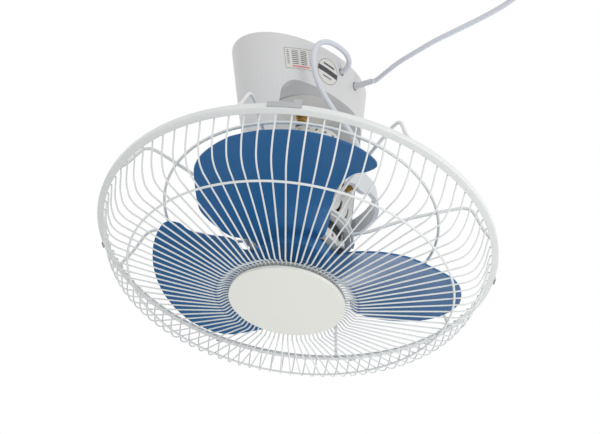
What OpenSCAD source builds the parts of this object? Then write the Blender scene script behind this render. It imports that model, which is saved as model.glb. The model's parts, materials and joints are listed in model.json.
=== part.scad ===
// Orbital ceiling fan: a canopy with two legs, a gimbal ring, a motor that
// orbits in it, three swept blades and a two-part wire guard.
// Origin at the centre of the ceiling face, +Z up, the fan hangs below. mm.

/* [Canopy] */
// Half length of the oval canopy at the ceiling
canopy_a = 110; // [104:1:125]
// Half width of the oval canopy at the ceiling
canopy_b = 63; // [58:1:72]
// Inward lean of the canopy wall per mm of drop
canopy_lean = 0.14; // [0.12:0.005:0.15]
// Wall thickness of the canopy
canopy_wall = 3.5; // [2.5:0.5:5]
// Height of the top of the arch below the ceiling
arch_drop = 56; // [50:1:60]
// Half width between the inner faces of the two legs
leg_gap = 75.5; // [74.5:0.5:77]
// Half width of the round foot of a leg
leg_foot = 14; // [12:1:15]
// Turn of the canopy's long side about the vertical
plan_turn = 48; // [30:1:60]

/* [Gimbal] */
// Depth of the gimbal centre below the ceiling
pivot_drop = 190; // [184:1:200]
// Rest angle of the ring about the leg pivots
ring_rest = -4.86; // [-12:0.01:12]
// Rest angle of the motor about the ring pivots
head_rest = 16.17; // [10:0.01:17]
// Inner radius of the gimbal ring
ring_ri = 86; // [85:0.5:90]
// Thickness of the gimbal ring
ring_t = 5; // [4:0.5:7]
// Height of the gimbal ring
ring_h = 22; // [16:1:24]
// Diameter of a pivot pin
pivot_d = 8; // [6:0.5:9]
// Running clearance on radius of a pivot
pivot_gap = 0.06; // [0.04:0.01:0.1]

/* [Motor] */
// Distance of the gimbal centre behind the rim band
motor_back = 64; // [60:1:68]
// Outer radius of the motor's rear cover
motor_r = 60; // [57:0.5:61]
// Wall thickness of the motor covers
motor_wall = 2.5; // [2:0.25:3.5]
// Step in from the rear cover to the stator stack
core_step = 8; // [7:0.5:12]
// Length of the stator stack
stator_h = 32; // [24:1:38]
// Diameter of the motor shaft
shaft_d = 8; // [7:0.5:10]
// Outer radius of the gear case
gear_r = 46; // [44:0.5:47]
// Offset of the layshaft from the motor axis
lay_offset = 22; // [21:0.5:23]
// Radius of the orbit crank
crank_r = 35.5; // [32:0.5:36]
// Number of vent slots round the rear cover
vents = 24; // [16:1:28]

/* [Guard] */
// Radius of the rim band
rim_r = 225; // [217:1:228]
// Width of the rim band
rim_w = 6.4; // [6.4:0.2:8]
// Depth of the rim band's front lip
rim_lip = 7.5; // [6:0.5:8]
// Number of front spokes
spokes = 90; // [60:1:96]
// Diameter of a front spoke
spoke_d = 2; // [1.6:0.1:2.4]
// Diameter of the front guard's ring wire
front_ring_d = 2.4; // [2:0.1:3]
// Radius of the front guard's ring
front_ring_r = 178; // [170:1:184]
// Number of rear ribs
ribs = 8; // [6:1:10]
// Diameter of a rear rib
rib_d = 3.8; // [3:0.1:4.4]
// Radius of the rear guard's ring
rear_ring_r = 161; // [150:1:170]
// Radius of the round badge
badge_r = 63.6; // [60:0.2:66]

/* [Blades] */
// Radius of the blade hub
hub_r = 46; // [42:0.5:47]
// Thickness of a blade
blade_t = 2.2; // [1.6:0.1:2.8]
// Clearance between a blade tip and the rim band
tip_gap = 27; // [22:1:36]
// Number of blades
blades_n = 3; // [2:1:4]

/* [Cords] */
// Diameter of the mains cord
mains_d = 6; // [5:0.5:7]
// Diameter of the motor cord
motor_cord_d = 6.5; // [5:0.5:7]

/* [Hidden] */

$fn = 96;
cover_white = [0.93, 0.93, 0.92];
shell_white = [0.86, 0.87, 0.88];
wire_white = [0.95, 0.95, 0.94];
brass = [0.72, 0.55, 0.26];
steel = [0.70, 0.71, 0.72];
dark = [0.28, 0.30, 0.30];
blue = [0.20, 0.42, 0.66];
grey = [0.55, 0.56, 0.58];

plate_t = 3;
seat = 0.3;
bush_t = 2;
bush_r = pivot_d / 2 + bush_t;
ring_ro = ring_ri + ring_t;
leg_end = canopy_a - canopy_lean * pivot_drop;
drum_r = 42;
drum_z = arch_drop + 1;
stud_l = 9;
stud_r = 7.5;
front_t0 = -4;
stator_t0 = 8;
rear_t0 = 18;
rear_t1 = 100;
lip_r = motor_r + 1.5;
stator_r = motor_r - core_step;
blade_r = rim_r - tip_gap;
gear_t1 = 125;
cover_t1 = 150;
cover_t2 = 168;
gear_end_r = 40;
inner_gear = gear_r - motor_wall;
// The head's own angles: guard features are counted from here
phi0 = -48.28;
wheel_r = lay_offset - 2.4;
pinion_r = 2.05;
lay_r = 1.5;
crank_a = 196.94;
boss_r = 10;
boss_out = motor_r + 6.5;

// ---------- frames ----------
module gimbal() translate([0, 0, -pivot_drop]) rotate([0, 0, plan_turn]) children();
module ring_frame() gimbal() rotate([ring_rest, 0, 0]) children();
// In the head frame z is the distance behind the plane of the guard's joint
module head() ring_frame() rotate([0, head_rest, 0]) translate([0, 0, -motor_back]) children();

// ---------- helpers ----------
function ellipse(a, b, n = 72) = [for (i = [0:n - 1]) [a * cos(i * 360 / n), b * sin(i * 360 / n)]];
// Oval wall body that leans inwards as it goes down from the ceiling
module oval(off, drop) {
  a = canopy_a + off;
  b = canopy_b + off;
  k = canopy_lean * drop;
  mirror([0, 0, 1]) linear_extrude(height = drop, scale = [(a - k) / a, (b - k) / b], slices = 1)
    polygon(ellipse(a, b));
}
function unit(v) = v / norm(v);
function lerp(a, b, t) = a + (b - a) * t;
// Smooth curve through points
function cr(p0, p1, p2, p3, t) = 0.5 * ((2 * p1) + (p2 - p0) * t + (2 * p0 - 5 * p1 + 4 * p2 - p3) * t * t
  + (3 * p1 - p0 - 3 * p2 + p3) * t * t * t);
function smooth(p, k) = let (n = len(p)) [for (i = [0:n - 2], j = [0:k - 1])
  cr(i == 0 ? 2 * p[0] - p[1] : p[i - 1], p[i], p[i + 1],
     i == n - 2 ? 2 * p[n - 1] - p[n - 2] : p[i + 2], j / k), p[n - 1]];
function tangent(p, i) = unit(i == 0 ? p[1] - p[0] : i == len(p) - 1 ? p[i] - p[i - 1] : p[i + 1] - p[i - 1]);
function ring_at(c, t, ref, r, n) = let (a = unit(cross(t, ref)), b = cross(t, a))
  [for (k = [0:n - 1]) c + r * cos(360 * k / n) * a + r * sin(360 * k / n) * b];
function tube_points(p, r, n, ref) = [for (i = [0:len(p) - 1]) each ring_at(p[i], tangent(p, i), ref, r, n)];
function tube_faces(m, n, o = 0) = concat(
  [for (i = [0:m - 2], k = [0:n - 1]) let (a = o + i * n + k, b = o + i * n + (k + 1) % n) each [[a + n, b + n, b], [a + n, b, a]]],
  [[for (k = [0:n - 1]) o + k]], [[for (k = [n - 1:-1:0]) o + (m - 1) * n + k]]);
module tube(p, d, n, ref) polyhedron(tube_points(p, d / 2, n, ref), tube_faces(len(p), n), convexity = 10);
function turn(p, a) = [p[0] * cos(a) - p[1] * sin(a), p[0] * sin(a) + p[1] * cos(a), p[2]];
function turn_x(p, a) = [p[0], p[1] * cos(a) - p[2] * sin(a), p[1] * sin(a) + p[2] * cos(a)];
function turn_y(p, a) = [p[0] * cos(a) + p[2] * sin(a), p[1], p[2] * cos(a) - p[0] * sin(a)];
// Ring frame to ceiling frame, and head frame to ring frame
function from_ring(p) = turn(turn_x(p, ring_rest), plan_turn) - [0, 0, pivot_drop];
function from_head(p) = turn_y(p - [0, 0, motor_back], head_rest);
// The same wire, path given as [radius, z], repeated round the axis
module wires(path, d, n, count, start) {
  p = [for (q = path) [q[0], 0, q[1]]];
  one = tube_points(p, d / 2, n, [0, 1, 0]);
  m = len(p);
  polyhedron([for (i = [0:count - 1]) each [for (q = one) turn(q, start - i * 360 / count)]],
    [for (i = [0:count - 1]) each tube_faces(m, n, i * m * n)], convexity = 20);
}
module torus(r, w, z) translate([0, 0, z]) rotate_extrude() translate([r, 0]) circle(d = w, $fn = 32);
module pipe(ro, ri, z0, z1) translate([0, 0, z0]) difference() {
  cylinder(r = ro, h = z1 - z0);
  translate([0, 0, -1]) cylinder(r = ri, h = z1 - z0 + 2);
}
module rod(r, z0, z1) translate([0, 0, z0]) cylinder(r = r, h = z1 - z0);
module spin(n, start = 0) for (i = [0:n - 1]) rotate([0, 0, start + i * 360 / n]) children();
module pan_screw(d, l, hr, hh) {
  translate([0, 0, -l]) cylinder(d = d, h = l, $fn = 24);
  difference() {
    cylinder(r = hr, h = hh, $fn = 32);
    translate([-0.4, -hr, hh * 0.5]) cube([0.8, 2 * hr, hh]);
    translate([-hr, -0.4, hh * 0.5]) cube([2 * hr, 0.8, hh]);
  }
}

// ---------- canopy and ceiling side ----------
plate_hole_r = 49;
plate_holes = [for (a = [45:90:315]) [plate_hole_r * cos(a), plate_hole_r * sin(a)]];
drum_holes = [[-50, 0], [50, 0], [0, 48.5]];
foot_cut = 40;
motor_hole = [6.7, -60.4, -17.5];
mains_hole = [39, -56, -20.2];
mains_dir = 14;
motor_dir = -8;
module arch_cut(grow = 0) translate([0, -canopy_b - 5, 0]) {
  w = leg_gap;
  c = 20;
  h = 2 * canopy_b + 10;
  translate([-w, 0, -pivot_drop - 60]) cube([2 * w, h, pivot_drop + 60 - arch_drop - c]);
  translate([-w + c, 0, -arch_drop - c - 1]) cube([2 * (w - c), h, c + 1]);
  for (x = [-1, 1]) translate([x * (w - c), 0, -arch_drop - c]) rotate([-90, 0, 0]) cylinder(r = c, h = h);
}
tab_at = canopy_a - canopy_wall - 7.5;
// Ledge inside the canopy that rests on the ceiling plate's hook
module canopy_ledge() intersection() {
  oval(-1, 20);
  translate([-canopy_a, -7, -11.7]) cube([canopy_a - tab_at - 1.8, 14, 2]);
}
module canopy() color(shell_white) rotate([0, 0, plan_turn]) {
  canopy_shell();
  canopy_ledge();
}
module canopy_shell() difference() {
  oval(0, pivot_drop + leg_foot);
  translate([0, 0, 1]) oval(-canopy_wall, arch_drop - canopy_wall + 1);
  rod(drum_r + 0.6, -pivot_drop, 0);
  arch_cut();
  // round feet of the two legs
  difference() {
    translate([-canopy_a, -foot_cut, -pivot_drop - foot_cut]) cube([2 * canopy_a, 2 * foot_cut, foot_cut]);
    translate([-canopy_a - 1, 0, -pivot_drop]) rotate([0, 90, 0]) cylinder(r = leg_foot, h = 2 * canopy_a + 2);
  }
  // bores for the leg bushes
  translate([-canopy_a, 0, -pivot_drop]) rotate([0, 90, 0]) cylinder(r = bush_r, h = 2 * canopy_a);
  // cord holes
  translate(motor_hole) rotate([90, 0, motor_dir]) translate([0, 0, -12]) cylinder(d = motor_cord_d + 3, h = 24);
  translate(mains_hole) rotate([90, 0, mains_dir]) translate([0, 0, -14]) cylinder(d = mains_d + 5, h = 28);
  // side screw
  translate([canopy_a - 12, 0, -12]) rotate([0, 90, 0]) cylinder(d = 4.4, h = 30, center = true);
}
module ceiling_plate() color(steel) rotate([0, 0, plan_turn]) {
  difference() {
    translate([0, 0, -plate_t]) linear_extrude(plate_t) polygon(ellipse(canopy_a - canopy_wall - 2.5, canopy_b - canopy_wall - 2.5));
    for (p = plate_holes) translate([p[0], p[1], -5]) cylinder(d = 6.5, h = 10);
    for (p = drum_holes) translate([p[0], p[1], -5]) cylinder(d = 4.2, h = 10);
    translate([0, -26, -5]) cylinder(d = 16, h = 10);
  }
  // tab that takes the canopy's screw, and the hook at the other end
  difference() {
    translate([tab_at - 1, -9, -20]) cube([2, 18, 20 - plate_t]);
    translate([tab_at, 0, -12]) rotate([0, 90, 0]) cylinder(d = 3.9, h = 8, center = true);
  }
  translate([-tab_at - 1, -9, -20]) cube([2, 18, 20 - plate_t]);
  translate([-tab_at - 4.8, -6, -14]) cube([5, 12, 2]);
}
module canopy_screw() color(steel) rotate([0, 0, plan_turn])
  translate([canopy_a - 12 * canopy_lean + 0.65, 0, -12]) rotate([0, 90, 0]) pan_screw(3.9, 13, 4, 2);
module orbit_drum() color(cover_white) rotate([0, 0, plan_turn]) difference() {
  union() {
    rod(drum_r, -drum_z, -plate_t);
    translate([-58, -8, -plate_t - 4]) cube([116, 16, 4]);
    translate([-8, 0, -plate_t - 4]) cube([16, 55, 4]);
  }
  rod(drum_r - 3, -drum_z + 5, 0);
  for (p = drum_holes) translate([p[0], p[1], -12]) cylinder(d = 3.2, h = 12);
  rod(4.05, -drum_z - 1, -drum_z + 6);
}
module drum_screws() color(steel) rotate([0, 0, plan_turn])
  for (p = drum_holes) translate([p[0], p[1], -plate_t - 4]) rotate([180, 0, 0]) pan_screw(3.2, 6, 3.4, 2.2);
module orbit_stud() color(brass) {
  rod(stud_r, -drum_z - stud_l + 2.5, -drum_z);
  rod(stud_r - 2, -drum_z - stud_l, -drum_z - stud_l + 2.5);
  rod(4, -drum_z, -drum_z + 12);
}
module stud_nut() color(brass) difference() {
  translate([0, 0, -drum_z + 5]) cylinder(r = 8, h = 5.5, $fn = 6);
  rod(4.05, -drum_z, -drum_z + 20);
}
module leg_bushes() color(brass) gimbal() for (s = [0, 180]) rotate([0, 0, s])
  translate([leg_gap, 0, 0]) rotate([0, 90, 0]) pipe(bush_r, pivot_d / 2 + pivot_gap, 0, leg_end - leg_gap - 0.6);
// Label cut from a thin skin on the wall: turn of its face, offset along it, height, thickness
module wall_label(ang, x, z, t) intersection() {
  difference() {
    oval(t, pivot_drop + leg_foot);
    oval(0, pivot_drop + leg_foot);
  }
  rotate([0, 0, ang]) translate([x, 0, z]) rotate([90, 0, 0]) linear_extrude(200) children();
}
module nameplate() color([0.9, 0.9, 0.88]) rotate([0, 0, plan_turn])
  wall_label(-23.7, -34.7, -28, 0.3) rotate(10) square([38.8, 28], center = true);
module round_label() color([0.92, 0.92, 0.92]) rotate([0, 0, plan_turn])
  wall_label(-4.9, -12.1, -28.6, 0.3) circle(r = 17.5, $fn = 48);
module motor_cord_grommet() color(grey) rotate([0, 0, plan_turn]) translate(motor_hole) rotate([90, 0, motor_dir])
  difference() {
    rod((motor_cord_d + 3) / 2, -7, -1.2);
    rod(motor_cord_d / 2 + 0.05, -10, 6);
  }
module mains_strain_relief() color([0.80, 0.80, 0.80]) rotate([0, 0, plan_turn]) translate(mains_hole)
  rotate([90, 0, mains_dir]) difference() {
    union() {
      rod((mains_d + 5) / 2, -8, -0.6);
      translate([0, 0, -0.7]) cylinder(r1 = (mains_d + 2.2) / 2, r2 = (mains_d + 1) / 2, h = relief_l + 4.5);
    }
    rod(mains_d / 2 + 0.05, -12, 30);
  }
module terminal_block() color([0.85, 0.85, 0.82]) rotate([0, 0, plan_turn]) difference() {
  translate([54, -30, -plate_t - 14]) cube([30, 12, 14]);
  for (i = [0:2]) translate([59 + 10 * i, -31, -plate_t - 9]) rotate([-90, 0, 0]) cylinder(d = 4, h = 14, $fn = 24);
}
module capacitor() color([0.9, 0.9, 0.9]) rotate([0, 0, plan_turn]) {
  translate([-86, -13, -plate_t - 26]) cube([34, 26, 14]);
  translate([-88, -13, -plate_t - 12]) cube([3.2, 26, 12]);
}
module cord_clamp() color(grey) rotate([0, 0, plan_turn]) {
  translate([50, -42, -plate_t - 6]) cube([16, 8, 6]);
}

// ---------- cords, routes by hand in the ceiling frame ----------
// The cord clip on the gimbal ring: angle, length, radius and height of its channel
clip_ang = -105;
clip_l = 10;
clip_c = ring_ri + ring_t / 2;
clip_z = ring_h / 2 + 2.4 + motor_cord_d / 2;
function clip_mouth(k) = turn([clip_c, k * clip_l / 2, clip_z], clip_ang);
relief_l = 20;
function on_wall(h, ang, s) = turn(h + s * [sin(ang), -cos(ang), 0], plan_turn);
outlet_at = [265, -209.5, -14.2];
outlet_dir = -52;
gland_end = 36;
function at_outlet(s) = outlet_at - s * [cos(outlet_dir), sin(outlet_dir), 0];
mains_route = [[105.5, -41.5, -21], [118.5, -61, -21], [137, -81, -20.5], [155, -99, -19.5],
  [179.5, -118.5, -18], [200, -134.5, -16.6], [220, -152.5, -15.3], [233.5, -169, -14.4]];
mains_path = concat([on_wall(mains_hole, mains_dir, -6)],
  smooth(concat([on_wall(mains_hole, mains_dir, 3.8 + relief_l), on_wall(mains_hole, mains_dir, 10 + relief_l)],
    mains_route, [at_outlet(gland_end)]), 3), [at_outlet(24)]);
module mains_cord() color([0.84, 0.84, 0.85]) tube(mains_path, mains_d, 10, [0.2, 0.2, 1]);
loop_route = [[55.2, -42.6, -17.3], [57.8, -49.2, -15.8], [57.2, -56.6, -13.2], [53.2, -64.6, -10.8],
  [46.6, -71.8, -9.1], [38.8, -79.4, -8.9], [30.6, -86, -10.6], [22.8, -90.4, -14.8], [17, -91.6, -21.2],
  [13.8, -90.4, -30], [13, -87.6, -40.5], [15.2, -84, -54], [20, -80.5, -68], [26.6, -77, -82], [34, -73.6, -94],
  [42, -70.4, -104.6], [49.8, -67.2, -114.6], [56.4, -64.4, -124.4], [61.4, -62.4, -134.4], [64.2, -61.4, -144.6],
  [64.4, -61.6, -153.4], [61.6, -63.4, -160.4], [56.6, -66.7, -164.8]];
loop_path = concat([on_wall(motor_hole, motor_dir, -5)],
  smooth(concat([on_wall(motor_hole, motor_dir, 2.6)], loop_route, [from_ring(clip_mouth(1))]), 2),
  [from_ring(clip_mouth(0))]);
module motor_cord_loop() color([0.86, 0.87, 0.88]) tube(loop_path, motor_cord_d, 8, [1, 0.35, -0.1]);
module ceiling_outlet() color([0.88, 0.88, 0.87]) translate([outlet_at[0], outlet_at[1], 0]) difference() {
  union() {
    rod(30, -3, 0);
    translate([0, 0, -24]) cylinder(r1 = 25, r2 = 28.5, h = 21);
  }
  rod(25, -22, -2.5);
  translate([0, 0, outlet_at[2]]) rotate([0, -90, outlet_dir]) cylinder(d = mains_d + 4, h = 40);
}
module outlet_gland() color(grey) translate(outlet_at) rotate([0, -90, outlet_dir]) difference() {
  union() {
    rod((mains_d + 4) / 2, 22, 29.2);
    rod((mains_d + 8) / 2, 29.2, gland_end);
  }
  rod(mains_d / 2 + 0.05, 20, 44.4);
}

// ---------- gimbal ring ----------
ear_r = 17;
pivot_skin = 1.4;
nut_h = 5.2;
// Face of the pivots' lock nuts, clear of the ring's curve
nut_at = ring_ri - 0.5 - nut_h;
module gimbal_ring() color(shell_white) ring_frame() difference() {
  union() {
    pipe(ring_ro, ring_ri, -ring_h / 2, ring_h / 2);
    // round ears at the motor pivots
    intersection() {
      pipe(ring_ro, ring_ri, -40, 40);
      rotate([90, 0, 0]) translate([0, 0, -ring_ro - 20]) cylinder(r = ear_r, h = 2 * ring_ro + 40);
    }
  }
  rotate([0, 90, 0]) translate([0, 0, -ring_ro - 20]) cylinder(d = pivot_d, h = 2 * ring_ro + 40);
  // blind bores at the motor pivots
  rotate([90, 0, 0]) translate([0, 0, pivot_skin - ring_ro]) cylinder(d = pivot_d, h = 2 * (ring_ro - pivot_skin));
}
module leg_pivot_pins() color(steel) ring_frame() for (s = [0, 180]) rotate([0, 0, s]) rotate([0, 90, 0]) {
  rod(pivot_d / 2, leg_gap + 0.2, ring_ro + 0.4);
  rod(pivot_d / 2 + 3.5, ring_ro + 0.4, ring_ro + 4);
}
// Brass pivots between the ring and the motor, with a coarse thread
module ring_pivots() color(brass) ring_frame() for (s = [0, 180]) rotate([0, 0, s]) rotate([90, 0, 0]) {
  rod(pivot_d / 2 - pivot_gap, motor_r - 4, boss_out + 0.6);
  rod(6.2, boss_out + 0.6, nut_at - 0.5);
  for (k = [0:floor((nut_at - boss_out - 3.9) / 2.6)]) rod(6.8, boss_out + 2 + k * 2.6, boss_out + 3.4 + k * 2.6);
  rod(pivot_d / 2, nut_at - 0.5, ring_ro - pivot_skin - 0.3);
}
module pivot_nuts() color(brass) ring_frame() for (s = [0, 180]) rotate([0, 0, s]) rotate([90, 0, 0]) difference() {
  translate([0, 0, nut_at]) cylinder(r = 8, h = nut_h, $fn = 6);
  rod(pivot_d / 2, 0, 200);
}
module ring_cord_clip() color(grey) ring_frame() rotate([0, 0, clip_ang]) difference() {
  translate([clip_c - 5, -clip_l / 2, ring_h / 2]) cube([10, clip_l, motor_cord_d + 3.6]);
  translate([clip_c, 0, clip_z]) rotate([90, 0, 0]) cylinder(d = motor_cord_d + 0.1, h = clip_l + 2, center = true);
  translate([clip_c - motor_cord_d / 2 - 0.05, -clip_l, clip_z]) cube([motor_cord_d + 0.1, 2 * clip_l, 10]);
}

// ---------- motor ----------
gland_ang = -128;
gland_t = 70;
function gland_pt(r) = from_head([r * cos(gland_ang), r * sin(gland_ang), gland_t]);
tail_route = [[-38, -80.6, 16], [-45.8, -74.6, 16.8], [-48.3, -66.8, 17.9], [-44.8, -60.6, 18.6]];
tail_path = concat([clip_mouth(0)], smooth(concat([clip_mouth(-1)], tail_route, [gland_pt(motor_r + 7)]), 3),
  [gland_pt(motor_r)]);
module motor_cord_tail() color([0.86, 0.87, 0.88]) ring_frame() tube(tail_path, motor_cord_d, 8, [0, 0.1, 1]);
module motor_gland() color(grey) head() rotate([0, 0, gland_ang]) translate([0, 0, gland_t]) rotate([0, 90, 0])
  difference() {
    union() {
      rod(motor_cord_d / 2 + 1.2, motor_r - motor_wall - 0.6, motor_r);
      rod(motor_cord_d / 2 + 2.6, motor_r, motor_r + 2);
      translate([0, 0, motor_r + 2]) cylinder(r1 = motor_cord_d / 2 + 2, r2 = motor_cord_d / 2 + 1.1, h = 5);
    }
    rod(motor_cord_d / 2 + 0.05, 40, 90);
  }
ear_pos = stator_r + 2.5;
// Half length of a window in the front cover, between its bearing boss and its wall
window_l = (stator_r - 34) / 2;
module front_cover() color(cover_white) head() difference() {
  union() {
    pipe(stator_r, stator_r - motor_wall, front_t0, stator_t0);
    rod(stator_r, front_t0, front_t0 + 2.5);
    rod(14, front_t0, 7);
    spin(4, 22) translate([ear_pos, 0, front_t0]) cylinder(r = 4.4, h = 6);
    spin(4, 22) translate([stator_r - 4, -4.4, front_t0]) cube([6.5, 8.8, 2.5]);
  }
  rod(11, front_t0 + 2, 8);
  rod(shaft_d / 2 + 0.8, front_t0 - 1, 8);
  spin(4, 22) translate([ear_pos, 0, front_t0 - 1]) cylinder(d = 4.2, h = 10, $fn = 24);
  // windows in the face
  spin(8, 0) translate([22 + window_l, 0, front_t0 - 1]) {
    translate([-window_l, -4, 0]) cube([2 * window_l, 8, 5]);
    for (x = [-window_l, window_l]) translate([x, 0, 0]) cylinder(r = 4, h = 5);
  }
  // slots in the side wall
  spin(16, 5) translate([stator_r - 6, -2, front_t0 + 4.5]) cube([9, 4, 5]);
}
module stator_core() color(dark) head() pipe(stator_r, 30, stator_t0, stator_t0 + stator_h);
module windings() color([0.62, 0.33, 0.16]) head() {
  for (z = [[1.5, stator_t0 - 0.05], [stator_t0 + stator_h + 0.05, stator_t0 + stator_h + 15]])
    translate([0, 0, z[0]]) rotate_extrude() translate([33, 0]) square([stator_r - 37, z[1] - z[0]]);
}
vent_l = 24;
vent_r = 34;
// Crescent-shaped hole that runs along the axis
module crescent() rotate([0, 90, 0]) linear_extrude(20) intersection() {
  difference() {
    translate([0, -vent_r + 2.8]) circle(r = vent_r, $fn = 64);
    translate([0, -vent_r * 0.82 - 2.4]) circle(r = vent_r * 0.86, $fn = 64);
  }
  square([vent_l, 12], center = true);
}
shoulder = 6;
end_wall = 3;
module rear_cover() color(cover_white) head() difference() {
  union() {
    rod(motor_r, rear_t0, rear_t1 - shoulder);
    translate([0, 0, rear_t1 - shoulder]) cylinder(r1 = motor_r, r2 = motor_r - 7, h = shoulder);
    rod(lip_r, rear_t0, rear_t0 + 3);
    // bosses for the ring pivots
    for (s = [90, -90]) rotate([0, 0, s]) translate([0, 0, motor_back]) rotate([0, 90, 0]) rod(boss_r, motor_r - 3, boss_out);
  }
  // the hollow, in steps: round the stator's seat, then the full bore
  rod(stator_r + 3, rear_t0 - 1, rear_t0 + 2);
  difference() {
    rod(motor_r - motor_wall, rear_t0 + 1, rear_t1 - shoulder);
    pipe(motor_r, stator_r, rear_t0 + 2, rear_t0 + 7);
    spin(4, 22) translate([ear_pos, 0, 60]) cylinder(r = 4.2, h = 50);
    for (s = [90, -90]) rotate([0, 0, s]) translate([0, 0, motor_back]) rotate([0, 90, 0]) rod(boss_r, motor_r - 4.5, 70);
    rod(14, rear_t1 - 12, rear_t1);
  }
  difference() {
    translate([0, 0, rear_t1 - shoulder]) cylinder(r = motor_r - motor_wall - 6, h = shoulder - end_wall);
    rod(14, rear_t1 - 12, rear_t1);
  }
  rod(11, rear_t1 - 13, rear_t1 - 2);
  rod(shaft_d / 2 + 0.8, rear_t1 - 20, rear_t1 + 5);
  spin(4, 22) translate([ear_pos, 0, rear_t0 - 1]) cylinder(d = 4.2, h = 10, $fn = 24);
  spin(4, 22) translate([ear_pos, 0, 59]) cylinder(d = 3.9, h = 31, $fn = 24);
  rotate([90, 0, 0]) translate([0, motor_back, -100]) cylinder(d = pivot_d, h = 200);
  spin(vents, 29 + 6.28 - 3.6) translate([motor_r - 12, 0, 39]) rotate([-18, 0, 0]) crescent();
  rotate([0, 0, gland_ang]) translate([0, 0, gland_t]) rotate([0, 90, 0]) rod(motor_cord_d / 2 + 1.2, 50, 70);
}
module through_screws() color(steel) head() spin(4, 22) translate([ear_pos, 0, front_t0]) rotate([180, 0, 0]) pan_screw(3.9, 92, 3.6, 2.2);
module shaft_bearings() color(steel) head() {
  pipe(11, shaft_d / 2 + 0.02, front_t0 + 2.05, 6.6);
  pipe(11, shaft_d / 2 + 0.02, rear_t1 - 9.6, rear_t1 - 2.05);
}
module gear_case() color(cover_white) head() pipe(gear_r, inner_gear, rear_t1, gear_t1);
module gear_plate() color(steel) head() difference() {
  rod(inner_gear - 0.2, gear_t1 + 0.9, gear_t1 + 2.9);
  rod(4.06, gear_t1 - 2, gear_t1 + 6);
  translate([0, lay_offset, gear_t1 - 2]) cylinder(r = lay_r + 0.05, h = 8, $fn = 32);
}
module gear_cover() color(cover_white) head() difference() {
  union() {
    pipe(gear_r, inner_gear, gear_t1, cover_t1);
    translate([0, 0, cover_t1]) difference() {
      cylinder(r1 = gear_r, r2 = gear_end_r, h = cover_t2 - cover_t1);
      translate([0, 0, -0.01]) cylinder(r1 = inner_gear, r2 = gear_end_r - motor_wall, h = cover_t2 - cover_t1 - 3);
    }
    rod(9, cover_t2 - 12, cover_t2);
    // ledge that holds the gear plate
    pipe(inner_gear + 0.5, inner_gear - 4, gear_t1 + 3, gear_t1 + 6);
  }
  rod(6.5, cover_t2 - 14, cover_t2 + 1);
  spin(vents, 4.72) translate([gear_r - 12, 0, 157]) rotate([-25, 0, 0]) translate([0, -1.6, -3.2]) cube([16, 3.2, 6.4]);
}
module crank_bush() color(brass) head() pipe(6.5, 4.06, cover_t2 - 11, cover_t2 + 0.6);

// ---------- what the motor shaft carries ----------
nose = -36;
module shaft() color(steel) head() {
  rod(shaft_d / 2, nose, rear_t1 + 1.5);
  rod(pinion_r, rear_t1 + 1.5, rear_t1 + 13);
}
module motor_rotor() color(grey) head() pipe(29.5, shaft_d / 2, stator_t0, stator_t0 + stator_h);
module blade_insert() color(steel) head() difference() {
  union() {
    rod(13, -23.5, -7.5);
    rod(16, -10.5, -7.5);
  }
  rod(shaft_d / 2 + 0.02, -30, 0);
}
// Each row: radius, leading angle, trailing angle, rise per radian, middle depth
blade_rows = [[40, -60, 38, 5, 15], [50, -66, 33, 5, 14.5], [60, -63, 32, 5, 14.2], [72, -57, 34.5, 15, 10.5],
  [82, -50.5, 35, 22.8, 7.8], [103, -46.7, 31.8, 29.6, 6.7], [128, -48.8, 26.6, 33.4, 9.2], [140, -53.4, 22.5, 34, 11],
  [156, -54, 17, 34, 14], [168, -48, 13.5, 34, 16], [178, -40, 10.5, 34, 17.6], [187, -31, 6, 34, 19.3],
  [194, -22, 0, 34, 20.6], [198, -13, -5, 34, 21.2]];
blade_phi = -160.4;
blade_cols = 12;
function blade_mid(i, j) = let (q = blade_rows[i], r = i < 3 ? q[0] : 60 + (q[0] - 60) * (blade_r - 60) / 138,
  a = lerp(q[1], q[2], j / blade_cols), d = q[4] + q[3] * a * PI / 180)
  [r * cos(blade_phi - a), r * sin(blade_phi - a), -d];
module one_blade() {
  n = len(blade_rows);
  m = blade_cols + 1;
  mid = [for (i = [0:n - 1], j = [0:blade_cols]) blade_mid(i, j)];
  up = [0, 0, blade_t / 2];
  pts = concat([for (p = mid) p + up], [for (p = mid) p - up]);
  o = n * m;
  polyhedron(pts, concat(
    [for (i = [0:n - 2], j = [0:blade_cols - 1]) let (a = i * m + j) each [[a, a + m, a + m + 1], [a, a + m + 1, a + 1]]],
    [for (i = [0:n - 2], j = [0:blade_cols - 1]) let (a = o + i * m + j) each [[a, a + m + 1, a + m], [a, a + 1, a + m + 1]]],
    [for (j = [0:blade_cols - 1]) each [[j, j + 1, o + j + 1], [j, o + j + 1, o + j]]],
    [for (j = [0:blade_cols - 1]) let (a = (n - 1) * m + j) each [[a, o + a, o + a + 1], [a, o + a + 1, a + 1]]],
    [for (i = [0:n - 2]) let (a = i * m) each [[a, o + a, o + a + m], [a, o + a + m, a + m]]],
    [for (i = [0:n - 2]) let (a = i * m + blade_cols) each [[a, a + m, o + a + m], [a, o + a + m, o + a]]]), convexity = 6);
}
module blades() color(blue) head() {
  difference() {
    union() {
      difference() {
        rod(hub_r, -25, -8);
        rod(hub_r - 3, -22, -7);
      }
      rod(17, -25, -8);
      spin(6, 0) translate([15, -1.2, -24]) cube([hub_r - 17, 2.4, 14]);
      for (i = [0:blades_n - 1]) rotate([0, 0, i * 360 / blades_n]) one_blade();
    }
    rod(13, -23.5, -7);
    rod(16.05, -10.5, -7);
    rod(shaft_d / 2 + 0.4, -30, -7);
    rod(hub_r - 4.2, -15.5, -7);
  }
}
module spinner_nut() color([0.3, 0.32, 0.36]) head() difference() {
  union() {
    rod(14, -28.5, -25.3);
    rod(9, -34, -28.5);
  }
  rod(shaft_d / 2, -40, 0);
}
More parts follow.
